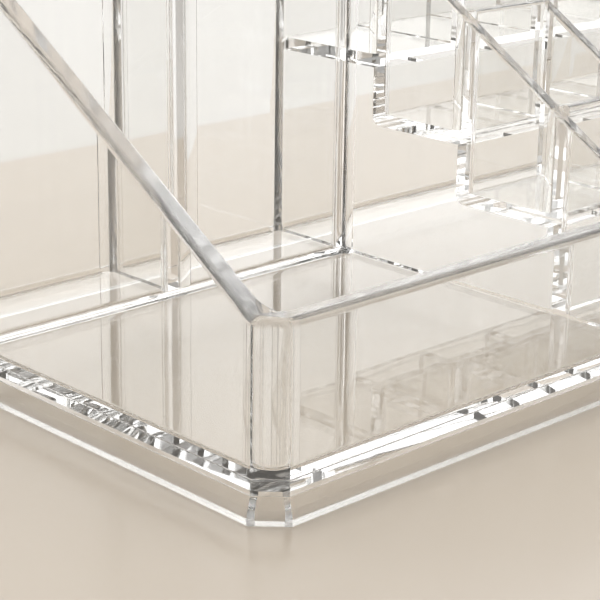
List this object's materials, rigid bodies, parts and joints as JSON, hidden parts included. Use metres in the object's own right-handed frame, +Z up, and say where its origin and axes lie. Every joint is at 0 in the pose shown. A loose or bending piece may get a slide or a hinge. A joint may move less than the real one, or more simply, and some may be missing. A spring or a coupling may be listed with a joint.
{
  "type": "vanity organizer",
  "caption": "Clear countertop vanity organizer with a low front tray, tall brush bays behind it and a stepped lipstick rack under sloped rails, on a flared plinth.",
  "frame": {"origin": "centre of the plinth's outline, on the surface that the organizer stands on", "axes": "+X to the user's right along the front, +Y from the front panel to the back panel, +Z up"},
  "size_m": [0.2206, 0.1204, 0.1017],
  "materials": {
    "clear_acrylic": "polished, water clear"
  },
  "bodies": {
    "root": {"back_left_corner": "clear_acrylic", "back_panel": "clear_acrylic", "back_right_corner": "clear_acrylic", "base_plinth": "clear_acrylic", "brush_divider": "clear_acrylic", "brush_front_wall": "clear_acrylic", "floor_plate": "clear_acrylic", "front_left_corner": "clear_acrylic", "front_panel": "clear_acrylic", "front_right_corner": "clear_acrylic", "left_side_panel": "clear_acrylic", "rack_cross_wall_1": "clear_acrylic", "rack_cross_wall_2": "clear_acrylic", "rack_cross_wall_3": "clear_acrylic", "rack_divider_1": "clear_acrylic", "rack_divider_2": "clear_acrylic", "rack_divider_3": "clear_acrylic", "rack_left_wall": "clear_acrylic", "rack_shelf_1": "clear_acrylic", "rack_shelf_2": "clear_acrylic", "rack_shelf_3": "clear_acrylic", "right_side_panel": "clear_acrylic"}
  },
  "joints": []
}
